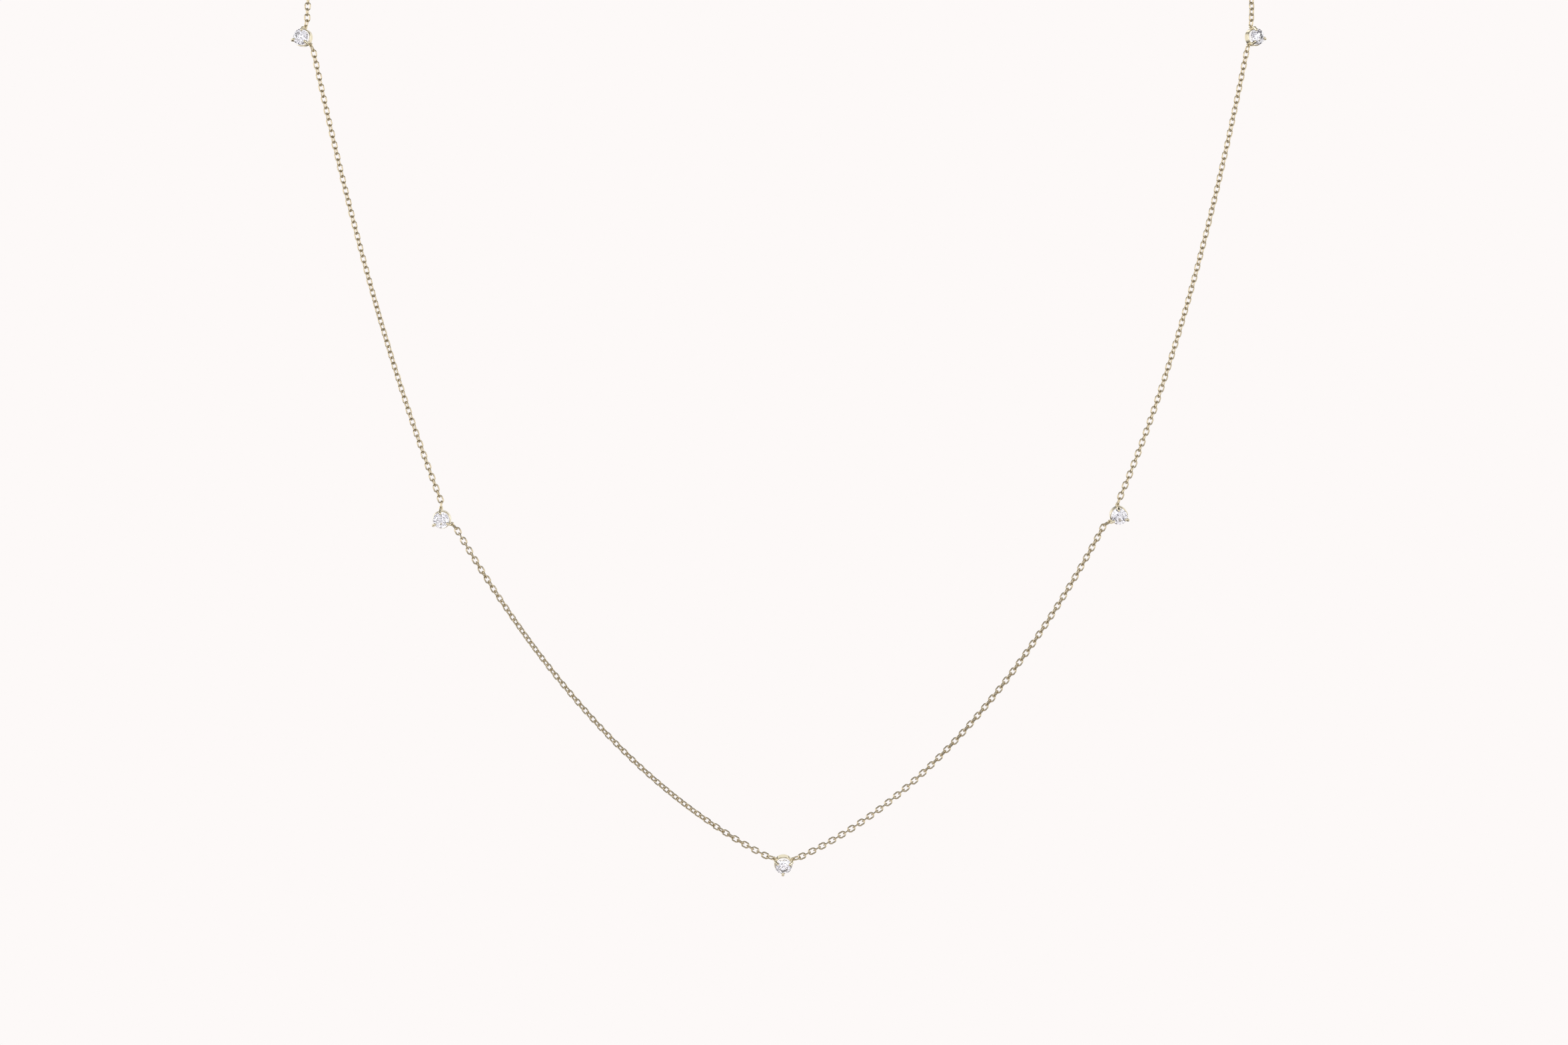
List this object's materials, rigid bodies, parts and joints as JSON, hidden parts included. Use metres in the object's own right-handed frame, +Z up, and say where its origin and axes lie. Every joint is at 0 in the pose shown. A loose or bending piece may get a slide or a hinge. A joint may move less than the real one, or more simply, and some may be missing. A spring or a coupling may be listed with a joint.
{
  "type": "station necklace",
  "caption": "Fine cable chain necklace with small round stones in prong settings spaced along its front, and a plain ring clasp at the nape.",
  "frame": {"origin": "centre of the ring clasp, where the necklace hangs over the nape of the neck", "axes": "+X to the right as the wearer's front is seen, +Y from the front to the nape, +Z up; the front hangs in an upright plane on the -Y side"},
  "size_m": [0.1297, 0.0491, 0.1494],
  "materials": {
    "gold": "polished pale yellow gold",
    "diamond": "faceted and polished, clear"
  },
  "bodies": {
    "root": {"top_left_setting": "gold", "top_left_stone": "diamond", "top_left_upper_link": "gold", "top_left_lower_link": "gold", "middle_left_setting": "gold", "middle_left_stone": "diamond", "middle_left_upper_link": "gold", "middle_left_lower_link": "gold", "bottom_setting": "gold", "bottom_stone": "diamond", "bottom_left_link": "gold", "bottom_right_link": "gold", "middle_right_setting": "gold", "middle_right_stone": "diamond", "middle_right_upper_link": "gold", "middle_right_lower_link": "gold", "top_right_setting": "gold", "top_right_stone": "diamond", "top_right_upper_link": "gold", "top_right_lower_link": "gold", "chain_upper_left": "gold", "chain_lower_left": "gold", "chain_lower_right": "gold", "chain_upper_right": "gold", "chain_back_left": "gold", "chain_back_right": "gold", "clasp": "gold", "clasp_jump_ring": "gold", "clasp_left_link": "gold", "clasp_right_link": "gold"}
  },
  "joints": []
}
